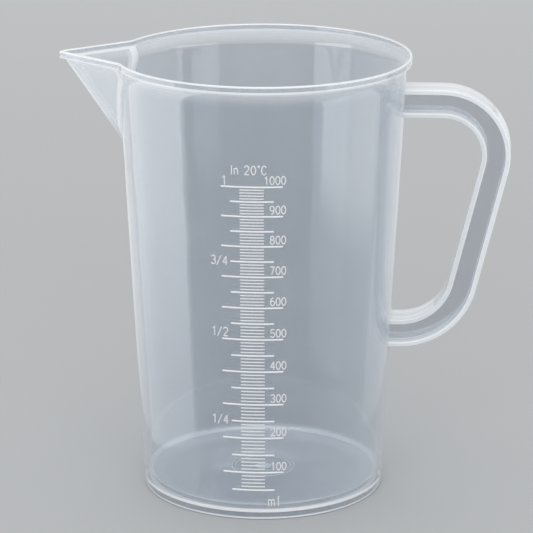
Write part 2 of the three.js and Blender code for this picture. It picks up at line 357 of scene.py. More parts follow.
class WallProfile:
    """Radii of the wall, the flare and the lip, at any height."""

    def __init__(self, body):
        self.body = body
        self.flare_z = body.height - body.flare_start
        self.lip_radius = body.mouth_radius + body.lip_overhang
        rise = body.flare_start - body.lip_height
        out = self.lip_radius - self.plain(self.flare_z)
        self.flare_radius = (rise**2 + out**2) / (2 * out)
        self.flare_x = self.plain(self.flare_z) + self.flare_radius
        self.turn = math.asin(rise / self.flare_radius)

    def plain(self, z):
        """Outer radius of the plain wall, without the flare."""
        body = self.body
        return body.foot_radius + (body.mouth_radius - body.foot_radius) * z / body.height

    def arc(self, z, radius):
        """Radius at a height on an arc about the flare's centre, upright past its end."""
        rise = min(z - self.flare_z, radius * math.sin(self.turn))
        return self.flare_x - math.sqrt(radius**2 - rise**2)

    def outer(self, z):
        return self.plain(z) if z <= self.flare_z else self.arc(z, self.flare_radius)

    def inner(self, z):
        if z <= self.flare_z:
            return self.plain(z) - self.body.wall
        return self.arc(z, self.flare_radius + self.body.wall)


class SpoutPlan:
    """The spout's V seen from above: a round tip and two straight sides."""

    def __init__(self, spout, wall):
        self.spout = spout
        self.wall = wall
        self.round = spout.inner_round + spout.wall
        self.centre = spout.reach - self.round
        join_x = self.centre - wall.lip_radius * math.cos(spout.half_angle)
        join_y = wall.lip_radius * math.sin(spout.half_angle)
        facing = math.atan2(join_y, join_x) + math.acos(self.round / math.hypot(join_x, join_y))
        self.side = facing - math.pi / 2
        self.foot_z = wall.body.height - spout.depth
        self.start_z = self.foot_z - ROWS_BELOW
        self.slope = (spout.reach - wall.outer(self.foot_z)) / spout.depth

    def keel(self, z):
        """Distance of the tip's centre from the axis, down along the keel, or None well below it."""
        if z < self.foot_z - KEEL_BELOW:
            return None
        return self.centre - self.slope * (self.wall.body.height - z)

    def reach(self, angle, centre, tip):
        """Distance from the axis to the V, at an angle from the spout's middle."""
        if angle <= math.atan2(tip * math.cos(self.side), centre + tip * math.sin(self.side)):
            return centre * math.cos(angle) + math.sqrt(tip**2 - (centre * math.sin(angle)) ** 2)
        return (tip + math.sin(self.side) * centre) / math.sin(self.side + angle)


class Ring:
    """One ring of the bowl's grid: a circle, joined softly with the spout's V where it has one.

    The circle, the spout's seams and the spout's sides each have a milkiness; the seams' is a painted
    highlight.
    """

    def __init__(self, radius, z, milk=0.0, centre=None, tip=0.0, seam=0.0, sides=None):
        self.radius = radius
        self.z = z
        self.milk = milk
        self.seam = seam
        self.sides = SIDE_SHARE * seam if sides is None else sides
        self.centre = centre
        self.tip = tip

    def at(self, angle, plan):
        """Distance from the axis at an angle from the spout's middle."""
        if self.centre is None or angle > SPOUT_LIMIT:
            return self.radius
        out = plan.reach(angle, self.centre, self.tip)
        soft = plan.spout.fillet
        near = max(soft - abs(out - self.radius), 0.0)
        return max(out, self.radius) + near**2 / (4 * soft)

    def join(self, plan):
        """Angle at which the V meets the circle, or 0 if it stays inside."""
        if self.centre is None or plan.reach(0.0, self.centre, self.tip) <= self.radius:
            return 0.0
        low, high = 0.0, SPOUT_LIMIT
        for _ in range(JOIN_STEPS):
            middle = (low + high) / 2
            if plan.reach(middle, self.centre, self.tip) > self.radius:
                low = middle
            else:
                high = middle
        return low

    def milk_at(self, column):
        """Milkiness at a column of the grid, on a ring that has the spout."""
        if column in SEAM_COLUMNS:
            return max(self.milk, self.seam)
        if column <= FOLD_START:
            return max(self.milk, self.sides)
        return self.milk


def spread(start, end, count):
    """Evenly spaced values from start up to, but without, end."""
    return [start + (end - start) * i / count for i in range(count)]


def ring_angles(ring, plan):
    """Angles of half a ring: the tip, a flat side, the fold at the wall, and the plain wall."""
    join = ring.join(plan)
    if join == 0.0:
        below = min(max(plan.foot_z - ring.z, 0.0) / SPREAD_DEPTH, 1.0)
        join = LEAST_JOIN + (plan.spout.half_angle - LEAST_JOIN) * below
    join = max(join, LEAST_JOIN)
    fold = min(FOLD_ANGLE, join / 3)
    tip = min(TIP_ANGLE, join / 4)
    return (
        spread(0.0, tip, TIP_COLUMNS)
        + spread(tip, join - fold, SIDE_COLUMNS)
        + spread(join - fold, join + fold, FOLD_COLUMNS)
        + spread(join + fold, math.pi, WALL_COLUMNS)
        + [math.pi]
    )


def arc_points(x, z, radius, start, end, count):
    """Points of an arc in a profile, from one angle in degrees to another, both included."""
    points = []
    for i in range(count + 1):
        angle = math.radians(start + (end - start) * i / count)
        points.append((x + radius * math.cos(angle), z + radius * math.sin(angle)))
    return points


def arc_rings(x, z, radius, start, end, count, milk):
    """Plain rings along an arc of the profile."""
    return [Ring(r, height, milk) for r, height in arc_points(x, z, radius, start, end, count)]


def foot_rings(body, wall):
    """Rings from the underside's middle, round the foot, to the plain wall."""
    under, edge = body.foot_height, body.edge
    fillet, inner = body.foot_fillet, body.foot_edge
    foot_in = body.foot_radius - body.foot_width
    rings = [Ring(r * MM, under, milk) for r, milk in UNDERSIDE]
    # White round the foot's fillet underneath: painted light, lifting the dark band seen through the
    # floor
    rings.append(Ring(foot_in - 2 * fillet - FILLET_FADE, under, UNDER_FILLET_PAINTED_LIGHT))
    rings.append(Ring(foot_in - 2 * fillet, under, WHITE))
    rings += arc_rings(foot_in - fillet, under - fillet, fillet, 90, 0, 4, WHITE)
    rings.append(Ring(foot_in, under - fillet - FOOT_FADE, FOOT_MILK))
    rings += arc_rings(foot_in + inner, inner, inner, 180, 270, 3, FOOT_MILK)
    # The foot's outer edge is white: a painted highlight
    rings += arc_rings(body.foot_radius - edge, edge, edge, 270, 360, 4, WHITE)
    rings += [Ring(wall.outer(z * MM), z * MM, milk) for z, milk in FOOT_HIGHLIGHT_BANDS]
    return rings


def outside_rings(body, spout, wall, plan):
    """Rings up the outside, where the spout's sides lean along the keel, under an upright lip."""
    lip_foot = body.height - spout.lip_height
    under_lip = lip_foot - spout.lip_step
    heights = spread(OUTER_START, plan.start_z, LOWER_ROWS)
    heights += spread(plan.start_z, wall.flare_z, SPOUT_ROWS)
    heights += spread(wall.flare_z, under_lip, FLARE_ROWS)
    rings = []
    for z in heights:
        # Whiter up the outer flare towards the lip: a painted glow
        milk = OUTER_PAINTED_GLOW * max(0.0, (z - wall.flare_z) / body.flare_start)
        rings.append(Ring(wall.outer(z), z, milk, plan.keel(z), plan.round, OUTER_SEAM_HIGHLIGHT))
    # A white line under the lip and round its bead: a painted highlight
    radius, keel = wall.outer(under_lip), plan.keel(under_lip)
    rings.append(Ring(radius, under_lip, LIP_FOOT_HIGHLIGHT, keel, plan.round, OUTER_SEAM_HIGHLIGHT))
    bead = spout.lip_bead
    for x, z in arc_points(bead, lip_foot + bead, bead, 270, 180, 4):
        rings.append(Ring(wall.outer(z), z, WHITE, plan.centre, plan.round - x))
    for z in (lip_foot + bead + FADE, body.height - body.edge - FADE):
        rings.append(Ring(wall.outer(z), z, LIP_MILK, plan.centre, plan.round))
    return rings


def lip_rings(body, spout, wall, plan):
    """Rings over the lip's two rounded edges, white as a painted highlight on them."""
    top, edge, inner = body.height, body.edge, body.lip_edge
    lip_in = wall.inner(top)
    rings = []
    for x, z in arc_points(edge, top - edge, edge, 180, 90, 4):
        tip = plan.round - x * spout.lip_round / edge
        rings.append(Ring(wall.lip_radius - x, z, WHITE, plan.centre, tip))
    for x, z in arc_points(-inner, top - inner, inner, 90, 0, 3):
        rings.append(Ring(lip_in - x, z, WHITE, plan.centre, spout.inner_round - x))
    return rings


def inside_rings(body, spout, wall, plan):
    """Rings down the inside, past the line at the foot of the spout's upright lip."""
    tip = spout.inner_round
    ledge = body.height - spout.ledge
    line_top, line_foot = ledge + LINE_ABOVE, ledge - LINE_BELOW
    rings = []
    for z in (body.height - body.lip_edge - FADE, line_top + LINE_FADE):
        rings.append(Ring(wall.inner(z), z, 0.0, plan.centre, tip))
    for z, centre in ((line_top, plan.centre), (line_foot, plan.keel(line_foot))):
        rings.append(Ring(wall.inner(z), z, 0.0, centre, tip, INNER_SEAM_HIGHLIGHT, INNER_SEAM_HIGHLIGHT))
    heights = spread(ledge - LEDGE_GAP, wall.flare_z, FLARE_ROWS)
    heights += spread(wall.flare_z, plan.start_z, SPOUT_ROWS)
    heights += spread(plan.start_z, INNER_START, LOWER_ROWS)
    for z in heights:
        # A painted glow, whiter up the inside of the flare
        glow = min(max((z - wall.flare_z - PAINTED_GLOW_FROM) / PAINTED_GLOW_SPAN, 0.0), 1.0)
        seam = max(INNER_SEAM_HIGHLIGHT - (ledge - z) / SEAM_FADE, LEAST_SEAM_HIGHLIGHT)
        rings.append(Ring(wall.inner(z), z, INNER_PAINTED_GLOW * glow, plan.keel(z), tip, seam))
    return rings


def floor_rings(body, wall):
    """Rings of the inner corner and the floor, in to its low ring and the gate's mark."""
    floor = body.foot_height + body.floor
    corner, relief = body.corner, body.ring_relief
    corner_x = wall.inner(floor + corner) - corner
    arc = arc_points(corner_x, floor + corner, corner, 0, -90, len(CORNER_HIGHLIGHT) - 1)
    rings = [Ring(r, z, milk) for (r, z), milk in zip(arc, CORNER_HIGHLIGHT)]
    rings += [Ring(r, floor, FLOOR_HAZE_AND_LIGHT) for r in (corner_x - FLOOR_INSET, FLOOR_RADIUS)]
    ring_out = body.ring_radius + body.ring_width / 2
    ring_in = body.ring_radius - body.ring_width / 2
    # The low ring's edges are white: a painted highlight
    for r, rise, milk in (
        (ring_out + RING_FADE, 0.0, FLOOR_HAZE_AND_LIGHT),
        (ring_out, relief / 2, RING_EDGE_HIGHLIGHT),
        (ring_out - relief, relief, FLOOR_HAZE_AND_LIGHT),
        (ring_in + relief, relief, FLOOR_HAZE_AND_LIGHT),
        (ring_in, relief / 2, RING_EDGE_HIGHLIGHT),
        (ring_in - RING_FADE, 0.0, FLOOR_HAZE_AND_LIGHT),
    ):
        rings.append(Ring(r, floor + rise, milk))
    for past, z, milk in GATE_MARK:
        rings.append(Ring(body.gate_radius + past * MM, floor + z * MM, milk))
    return rings


def body_rings(body, spout, wall, plan):
    """Rings of the whole bowl, from the middle of its underside, over the lip, to its floor."""
    return (
        foot_rings(body, wall)
        + outside_rings(body, spout, wall, plan)
        + lip_rings(body, spout, wall, plan)
        + inside_rings(body, spout, wall, plan)
        + floor_rings(body, wall)
    )


def new_piece(name, data):
    """An object in the scene, from a mesh or a curve."""
    piece = bpy.data.objects.new(name, data)
    bpy.context.scene.collection.objects.link(piece)
    return piece


def grid_faces(bm, rows):
    """Quads between rows of vertices that each run round a ring."""
    for low, high in zip(rows, rows[1:]):
        for i in range(len(low)):
            j = (i + 1) % len(low)
            bm.faces.new((low[i], low[j], high[j], high[i]))


def soften(mesh):
    """Smooth shading, broken only at real edges."""
    bm = bmesh.new()
    bm.from_mesh(mesh)
    bmesh.ops.recalc_face_normals(bm, faces=bm.faces)
    for face in bm.faces:
        face.smooth = True
    for edge in bm.edges:
        edge.smooth = edge.calc_face_angle(0.0) < SMOOTH_BELOW
    bm.to_mesh(mesh)
    bm.free()


def body_mesh(scene):
    """The bowl with its spout, as one closed skin."""
    body, spout = scene.jug_body, scene.jug_spout
    wall = WallProfile(body)
    plan = SpoutPlan(spout, wall)
    bm = bmesh.new()
    milk = bm.verts.layers.float.new("milk")
    rows = []
    for ring in body_rings(body, spout, wall, plan):
        columns = list(enumerate(ring_angles(ring, plan)))
        has_spout = ring.join(plan) > 0.0
        row = []
        for side, part in ((1, columns), (-1, columns[-2:0:-1])):
            for column, angle in part:
                r = ring.at(angle, plan)
                x, y = AXIS_X - r * math.cos(angle), side * r * math.sin(angle)
                vert = bm.verts.new((x, y, ring.z))
                vert[milk] = ring.milk_at(column) if has_spout else ring.milk
                row.append(vert)
        rows.append(row)
    grid_faces(bm, rows)
    gate_z = body.foot_height + body.floor - body.gate_depth
    for row, z in ((rows[0], body.foot_height), (rows[-1], gate_z)):
        pole = bm.verts.new((AXIS_X, 0.0, z))
        pole[milk] = row[0][milk]
        for i in range(len(row)):
            bm.faces.new((row[i], row[(i + 1) % len(row)], pole))
    bmesh.ops.recalc_face_normals(bm, faces=bm.faces)
    mesh = bpy.data.meshes.new("jug")
    bm.to_mesh(mesh)
    bm.free()
    return mesh


def direction(x, y):
    """Signs of a step along one axis, as -1, 0 or 1."""
    return (x > 0) - (x < 0), (y > 0) - (y < 0)


def rounded(corners, steps=3):
    """A closed outline of square corners, each rounded with its own radius."""
    points = []
    for i, (x, y, radius) in enumerate(corners):
        before, after = corners[i - 1], corners[(i + 1) % len(corners)]
        back = direction(before[0] - x, before[1] - y)
        ahead = direction(after[0] - x, after[1] - y)
        middle = (x + radius * (back[0] + ahead[0]), y + radius * (back[1] + ahead[1]))
        for k in range(steps + 1):
            turn = math.pi / 2 * k / steps
            c, s = math.cos(turn), math.sin(turn)
            points.append((
                middle[0] - radius * (ahead[0] * c + back[0] * s),
                middle[1] - radius * (ahead[1] * c + back[1] * s),
            ))
    return points


def handle_section(handle):
    """The I section, as depth in from the outer face and distance from the middle plane."""
    half, web, band, depth = handle.width / 2, handle.web / 2, handle.band, handle.depth
    edge, root = handle.edge, handle.root
    return rounded([
        (0, -half, edge), (0, half, edge), (band, half, edge), (band, web, root),
        (depth - band, web, root), (depth - band, half, edge), (depth, half, edge),
        (depth, -half, edge), (depth - band, -half, edge), (depth - band, -web, root),
        (band, -web, root), (band, -half, edge),
    ])


def subdivided(points, longest):
    """A closed outline with its long sides cut into shorter ones."""
    cut = []
    for (x0, y0), (x1, y1) in zip(points, points[1:] + points[:1]):
        parts = max(1, math.ceil(math.hypot(x1 - x0, y1 - y0) / longest))
        cut += [(x0 + (x1 - x0) * i / parts, y0 + (y1 - y0) * i / parts) for i in range(parts)]
    return cut


def band_milk(handle, deep, y):
    """Milkiness over the section: clear web, hazy bands with faint flow lines, white edges. The bands'
    haze is raised as painted light, and the white edges are a painted highlight.
    """
    half_band, half_web = handle.band / 2, handle.web / 2
    in_web = abs(y) < half_web + WEB_CLEAR * handle.root
    if in_web and half_band < deep < handle.depth - half_band:
        return 0.0
    sides = (0.0, handle.band, handle.depth - handle.band, handle.depth)
    away = min(math.hypot(deep - side, abs(y) - handle.width / 2) for side in sides)
    across, inward = y / MM, deep / MM
    flow = FLOW_MILK * (math.sin(FINE_FLOW * across) + math.sin(WIDE_FLOW * across + inward))
    return BAND_HAZE_AND_LIGHT + flow + (WHITE - BAND_HAZE_AND_LIGHT) * math.exp(-((away / BAND_HIGHLIGHT_WIDTH) ** 2))


def handle_path(handle):
    """Points of the outer face from the upper root to the lower, with the direction inward."""
    upper, lower, lean = handle.upper_bend, handle.lower_bend, handle.lean
    upper_x, upper_z = handle.reach - upper, handle.top - upper
    lower_z = handle.bottom + lower
    offset = upper - lower - (upper_z - lower_z) * math.sin(lean)
    lower_x = upper_x + offset / math.cos(lean)
    path = []
    for x in spread(HANDLE_START, upper_x, STRAIGHT_STEPS):
        path.append((x, handle.top, 0.0, -1.0))
    for x, z, radius, start, end in (
        (upper_x, upper_z, upper, math.pi / 2, -lean),
        (lower_x, lower_z, lower, -lean, -math.pi / 2),
    ):
        for i in range(BEND_STEPS + 1):
            angle = start + (end - start) * i / BEND_STEPS
            c, s = math.cos(angle), math.sin(angle)
            path.append((x + radius * c, z + radius * s, -c, -s))
    return path


def handle_mesh(scene):
    """The handle as a sweep of its section, whose ends lie just inside the wall."""
    handle = scene.jug_handle
    wall = WallProfile(scene.jug_body)
    section = subdivided(handle_section(handle), SECTION_STEP)
    bm = bmesh.new()
    milk = bm.verts.layers.float.new("milk")
    rows = []

    def add_row(places):
        """One ring of the sweep, with the section's milkiness."""
        row = [bm.verts.new((AXIS_X + x, y, z)) for x, y, z in places]
        for vert, (deep, y) in zip(row, section):
            vert[milk] = band_milk(handle, deep, y)
        rows.append(row)

    def root_row(face, inward):
        """The section where it runs into the wall's outer face."""
        places = []
        for deep, y in section:
            z = face + inward * deep
            radius = wall.outer(z) - ROOT_SUNK
            places.append((math.sqrt(radius**2 - y**2), y, z))
        return places

    add_row(root_row(handle.top, -1))
    for x, z, dx, dz in handle_path(handle):
        add_row([(x + dx * deep, y, z + dz * deep) for deep, y in section])
    add_row(root_row(handle.bottom, 1))
    grid_faces(bm, rows)
    ends = [bm.faces.new(rows[0]), bm.faces.new(rows[-1])]
    bmesh.ops.triangulate(bm, faces=ends, ngon_method="EAR_CLIP")
    mesh = bpy.data.meshes.new("handle")
    bm.to_mesh(mesh)
    bm.free()
    return mesh


def level_of(body, millilitres):
    """Height in the jug of a volume, from its tapered inside and its rounded corner."""
    floor = body.foot_height + body.floor
    taper = (body.mouth_radius - body.foot_radius) / body.height
    radius = body.foot_radius + taper * floor - body.wall
    corner = math.pi * (2 * radius - body.corner) * body.corner**2 * (1 - math.pi / 4)
    volume = millilitres * MILLILITRE + corner
    return floor + ((radius**3 + 3 * taper * volume / math.pi) ** (1 / 3) - radius) / taper


def on_wall(wall, across, z, sunk):
    """A point on the wall's outer face, at a distance round from the scale's middle."""
    radius = wall.outer(z)
    angle = across / radius
    return AXIS_X + (radius - sunk) * math.sin(angle), -(radius - sunk) * math.cos(angle), z


def raised_curve(name, strokes, width):
    """Round strokes standing on the wall."""
    data = bpy.data.curves.new(name, "CURVE")
    data.dimensions = "3D"
    data.bevel_depth = width / 2
    data.bevel_resolution = 2
    data.use_fill_caps = True
    for points in strokes:
        spline = data.splines.new("POLY")
        spline.points.add(len(points) - 1)
        for point, place in zip(spline.points, points):
            point.co = (*place, 1.0)
    return new_piece(name, data)


def oval(x, y, wide, high, start, end, steps=10):
    """Points of an oval arc, between angles in degrees."""
    points = []
    for i in range(steps + 1):
        angle = math.radians(start + (end - start) * i / steps)
        points.append((x + wide * math.cos(angle), y + high * math.sin(angle)))
    return points


# Width of each sign's box, which is one unit high, and the strokes in it
GLYPHS = {
    "0": (0.58, [oval(0.29, 0.5, 0.27, 0.5, 90, 450, 20)]),
    "1": (0.58, [[(0.12, 0.78), (0.34, 1.0)], [(0.34, 1.0), (0.34, 0.0)]]),
    "2": (0.58, [oval(0.29, 0.72, 0.26, 0.28, 165, -35) + [(0.03, 0.0)], [(0.03, 0.0), (0.57, 0.0)]]),
    "3": (0.58, [oval(0.27, 0.76, 0.25, 0.24, 160, -90) + oval(0.27, 0.26, 0.29, 0.26, 90, -160)]),
    "4": (0.58, [[(0.42, 0.0), (0.42, 1.0)], [(0.42, 1.0), (0.02, 0.3)], [(0.02, 0.3), (0.58, 0.3)]]),
    "5": (0.58, [
        [(0.53, 1.0), (0.1, 1.0)],
        [(0.1, 1.0), (0.06, 0.55)] + oval(0.28, 0.31, 0.28, 0.31, 130, -150),
    ]),
    "6": (0.58, [oval(0.42, 0.5, 0.38, 0.5, 90, 180, 6) + oval(0.3, 0.3, 0.26, 0.3, 180, 540, 16)]),
    "7": (0.58, [[(0.03, 1.0), (0.55, 1.0)], [(0.55, 1.0), (0.2, 0.0)]]),
    "8": (0.58, [
        oval(0.29, 0.76, 0.22, 0.24, -90, 270, 16) + oval(0.29, 0.26, 0.27, 0.26, 90, -270, 16)
    ]),
    "9": (0.58, [oval(0.28, 0.7, 0.26, 0.3, 0, 360, 16) + oval(0.16, 0.5, 0.38, 0.5, 0, -90, 6)]),
    "/": (0.52, [[(0.0, -0.08), (0.5, 1.04)]]),
    "I": (0.2, [[(0.1, 0.0), (0.1, 1.0)]]),
    "n": (0.5, [[(0.05, 0.68), (0.05, 0.0)], oval(0.25, 0.46, 0.2, 0.22, 180, 0) + [(0.45, 0.0)]]),
    "m": (0.74, [
        [(0.05, 0.66), (0.05, 0.0)],
        oval(0.2, 0.5, 0.15, 0.16, 180, 0, 6) + [(0.35, 0.0)],
        oval(0.5, 0.5, 0.15, 0.16, 180, 0, 6) + [(0.65, 0.0)],
    ]),
    "l": (0.2, [[(0.1, 0.0), (0.1, 1.0)]]),
    "o": (0.24, [oval(0.12, 0.93, 0.09, 0.1, 90, 450, 10)]),
    "C": (0.62, [oval(0.33, 0.5, 0.3, 0.5, 40, 320, 16)]),
    " ": (0.34, []),
}


def figure_strokes(wall, text, left, foot, height, pitch=None):
    """Strokes of a line of figures on the wall, from its left end and its foot."""
    strokes = []
    x = left
    for sign in text:
        width, lines = GLYPHS[sign]
        for line in lines:
            strokes.append([
                on_wall(wall, x + LETTER_SQUEEZE * px * height, foot + py * height, FIGURE_SUNK)
                for px, py in line
            ])
        x += pitch or (width + LETTER_GAP) * height
    return strokes


def node(tree, kind, **inputs):
    """A shader node with its plain inputs set."""
    made = tree.nodes.new(kind)
    for name, value in inputs.items():
        made.inputs[name].default_value = value
    return made


def math_node(tree, operation, *values, clamp=False):
    """A Math node fed by sockets or numbers."""
    made = tree.nodes.new("ShaderNodeMath")
    made.operation = operation
    made.use_clamp = clamp
    for socket, value in zip(made.inputs, values):
        if isinstance(value, (int, float)):
            socket.default_value = value
        else:
            tree.links.new(value, socket)
    return made.outputs[0]


def mixed(tree, share, first, second):
    """A Mix Shader of two shaders."""
    made = tree.nodes.new("ShaderNodeMixShader")
    if isinstance(share, float):
        made.inputs[0].default_value = share
    else:
        tree.links.new(share, made.inputs[0])
    tree.links.new(first, made.inputs[1])
    tree.links.new(second, made.inputs[2])
    return made.outputs[0]


def noise(tree, place, scale, detail, stretch=(1.0, 1.0, 1.0)):
    """Noise from 0 to 1 in the jug's own space, drawn out along its axes."""
    mapping = node(tree, "ShaderNodeMapping", Scale=stretch)
    made = node(tree, "ShaderNodeTexNoise", Scale=scale, Detail=detail)
    tree.links.new(place, mapping.inputs["Vector"])
    tree.links.new(mapping.outputs["Vector"], made.inputs["Vector"])
    return made.outputs["Fac"]


def ramp(tree, value, start, end, low, high):
    """A soft step from low to high as the value goes from start to end."""
    made = tree.nodes.new("ShaderNodeMapRange")
    made.interpolation_type = "SMOOTHSTEP"
    for socket, number in zip(made.inputs[1:5], (start, end, low, high)):
        socket.default_value = number
    tree.links.new(value, made.inputs["Value"])
    return made.outputs["Result"]


def clear_plastic(looks, name, tint):
    """Clear plastic that is faintly milky, more so at its lit edges and where it is seen edge on; the
    white edges and the extra haze of slanting faces are partly the plastic's haze and partly painted
    highlights.
    """
    material = bpy.data.materials.new(name)
    material.use_nodes = True
    tree = material.node_tree
    tree.nodes.clear()
    link = tree.links.new
    place = tree.nodes.new("ShaderNodeTexCoord").outputs["Object"]
    facing = node(tree, "ShaderNodeLayerWeight", Blend=0.5).outputs["Facing"]

    # Haze: clouds and specks in the wall, flow lines up its sides, which also paint a highlight of the
    # side lights, milk along its edges, partly painted light
    clouds = noise(tree, place, scale=45.0, detail=3.0)
    haze = math_node(tree, "MULTIPLY", clouds, 2.0 * looks.haze)
    grains = noise(tree, place, scale=420.0, detail=1.0)
    specks = ramp(tree, grains, start=0.75, end=0.82, low=0.0, high=looks.speck_haze)
    haze = math_node(tree, "ADD", haze, specks)
    flow = noise(tree, place, scale=1.0, detail=1.0, stretch=(48.0, 48.0, 2.0))
    sideways_highlight = ramp(tree, facing, start=0.1, end=0.36, low=0.0, high=2.0 * looks.side_haze)
    haze = math_node(tree, "ADD", haze, math_node(tree, "MULTIPLY", sideways_highlight, flow))
    grazing = math_node(tree, "POWER", facing, 4.0)
    haze = math_node(tree, "MULTIPLY_ADD", grazing, looks.edge_on_haze, haze)
    # The milk attribute: the plastic's own haze, and painted highlights and glows on edges, seams and
    # lines
    milk = tree.nodes.new("ShaderNodeAttribute")
    milk.attribute_name = "milk"
    haze = math_node(tree, "MULTIPLY_ADD", milk.outputs["Fac"], looks.edge_haze, haze, clamp=True)

    # Clear plastic, which lamps shine through more easily, mixed with milk
    white = (*looks.milk, 1.0)
    seen = node(tree, "ShaderNodeBsdfTransparent", Color=(*tint, 1.0))
    lit_through = node(tree, "ShaderNodeBsdfTransparent", Color=(*looks.shadow_tint, 1.0))
    shadow_ray = tree.nodes.new("ShaderNodeLightPath").outputs["Is Shadow Ray"]
    clear = mixed(tree, shadow_ray, seen.outputs[0], lit_through.outputs[0])
    front = node(tree, "ShaderNodeBsdfDiffuse", Color=white)
    through = node(tree, "ShaderNodeBsdfTranslucent", Color=white)
    milky = mixed(tree, looks.backlit, front.outputs[0], through.outputs[0])
    inside = mixed(tree, haze, clear, milky)

    # Gloss, faintly rippled, stronger where the wall is seen edge on
    gloss = node(tree, "ShaderNodeBsdfGlossy", Color=(1, 1, 1, 1))
    smooth, rough = 0.6 * looks.roughness, 1.4 * looks.roughness
    link(ramp(tree, clouds, start=0.3, end=0.7, low=smooth, high=rough), gloss.inputs["Roughness"])
    ripple = node(tree, "ShaderNodeBump", Strength=looks.ripple, Distance=RIPPLE_HEIGHT)
    link(noise(tree, place, scale=160.0, detail=2.0), ripple.inputs["Height"])
    link(ripple.outputs["Normal"], gloss.inputs["Normal"])
    edge_on = math_node(tree, "POWER", facing, 5.0)
    mirror = math_node(tree, "MULTIPLY_ADD", edge_on, looks.edge_on_mirror, looks.mirror)
    surface = mixed(tree, mirror, inside, gloss.outputs[0])
    out = tree.nodes.new("ShaderNodeOutputMaterial")
    link(surface, out.inputs["Surface"])
    return material


def raised_plastic(looks, name, whiteness):
    """The same plastic in thin raised strokes, which scatter the light and look white."""
    material = bpy.data.materials.new(name)
    material.use_nodes = True
    tree = material.node_tree
    place = tree.nodes.new("ShaderNodeTexCoord").outputs["Object"]
    shade = tree.nodes.new("ShaderNodeMix")
    shade.data_type = "RGBA"
    for socket, level in (("A", STROKE_DARK * whiteness), ("B", whiteness)):
        shade.inputs[socket].default_value = (*(level * value for value in looks.milk), 1.0)
    tree.links.new(noise(tree, place, scale=150.0, detail=2.0), shade.inputs["Factor"])
    body = tree.nodes["Principled BSDF"]
    tree.links.new(shade.outputs["Result"], body.inputs["Base Color"])
    body.inputs["Roughness"].default_value = STROKE_ROUGHNESS
    return material


def finish_piece(piece, material):
    """Gives a piece its plastic and seats it on the jug's body."""
    piece.data.materials.clear()
    piece.data.materials.append(material)
    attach(piece, "root")


class JUG_OT_bowl(Operator):
    """Mould the foot, the floor, the wall, the lip and the spout as one skin"""

    bl_idname = "jug.bowl"
    bl_label = "Mould the bowl"

    def execute(self, context):
        scene = context.scene
        bowl = new_piece("bowl", body_mesh(scene))
        soften(bowl.data)
        looks = scene.jug_plastic
        finish_piece(bowl, clear_plastic(looks, "bowl_plastic", looks.tint))
        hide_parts("foot_ring", "floor", "side_wall", "rim", "spout")
        return {"FINISHED"}


class JUG_OT_handle(Operator):
    """Mould the handle, an I section bowed out from the wall"""

    bl_idname = "jug.handle"
    bl_label = "Mould the handle"

    def execute(self, context):
        looks = context.scene.jug_plastic
        handle = new_piece("handle", handle_mesh(context.scene))
        soften(handle.data)
        finish_piece(handle, clear_plastic(looks, "handle_plastic", looks.handle_tint))
        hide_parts("handle_outer_flange", "handle_web", "handle_inner_flange")
        return {"FINISHED"}


class JUG_OT_scale_lines(Operator):
    """Raise the lines of the scale, each at the level of its volume"""

    bl_idname = "jug.scale_lines"
    bl_label = "Raise the scale's lines"

    def execute(self, context):
        scene = context.scene
        body, scale = scene.jug_body, scene.jug_scale
        wall = WallProfile(body)
        fine, main = [], []
        for volume in LINES:
            if volume % 50:
                lines, size, width, steps = fine, scale.short_line, scale.short_width, FINE_STEPS
            else:
                size = scale.middle_line if volume % 100 else scale.long_line
                lines, width, steps = main, scale.main_width, MAIN_STEPS
            level = level_of(body, volume)
            sunk = width / 2 - scale.relief
            lines.append([
                on_wall(wall, size * (i / steps - 0.5), level, sunk) for i in range(steps + 1)
            ])
        looks = scene.jug_plastic
        for name, lines, width, whiteness in (
            ("scale_fine_lines", fine, scale.short_width, looks.fine_white),
            ("scale_main_lines", main, scale.main_width, looks.main_white),
        ):
            material = raised_plastic(looks, name, whiteness)
            finish_piece(raised_curve(name, lines, width), material)
        return {"FINISHED"}


class JUG_OT_scale_figures(Operator):
    """Raise the numbers and units beside the scale"""

    bl_idname = "jug.scale_figures"
    bl_label = "Raise the scale's figures"

    def execute(self, context):
        scene = context.scene
        body, scale = scene.jug_body, scene.jug_scale
        wall = WallProfile(body)
        looks = scene.jug_plastic
        high, pitch = scale.figure_height, scale.figure_pitch
        strokes = []
        for volume in NUMBERS:
            text = str(volume)
            foot = level_of(body, volume) + scale.figure_rise
            left = scale.figure_edge - (len(text) - 1) * pitch - DIGIT_WIDTH * high
            strokes += figure_strokes(wall, text, left, foot, high, pitch)
        for text, volume, left, rise in PARTS:
            foot = level_of(body, volume) + rise * MM
            strokes += figure_strokes(wall, text, left * MM, foot, scale.part_height, scale.part_pitch)
        for text, left, foot, height in NOTES:
            strokes += figure_strokes(wall, text, left * MM, foot * MM, height * MM)
        figures = raised_curve("scale_figures", strokes, scale.figure_stroke)
        finish_piece(figures, raised_plastic(looks, "scale_figures", looks.figure_white))
        return {"FINISHED"}


def panel_lamp(name, watts, size, place, turn):
    """A flat lamp that the camera doesn't see."""
    lamp = bpy.data.lights.new(name, "AREA")
    lamp.shape = "RECTANGLE"
    lamp.energy = watts
    lamp.size, lamp.size_y = size
    panel = bpy.data.objects.new(name, lamp)
    bpy.context.scene.collection.objects.link(panel)
    panel.location = place
    panel.rotation_euler = [math.radians(a) for a in turn]
    panel.visible_camera = False
    return panel


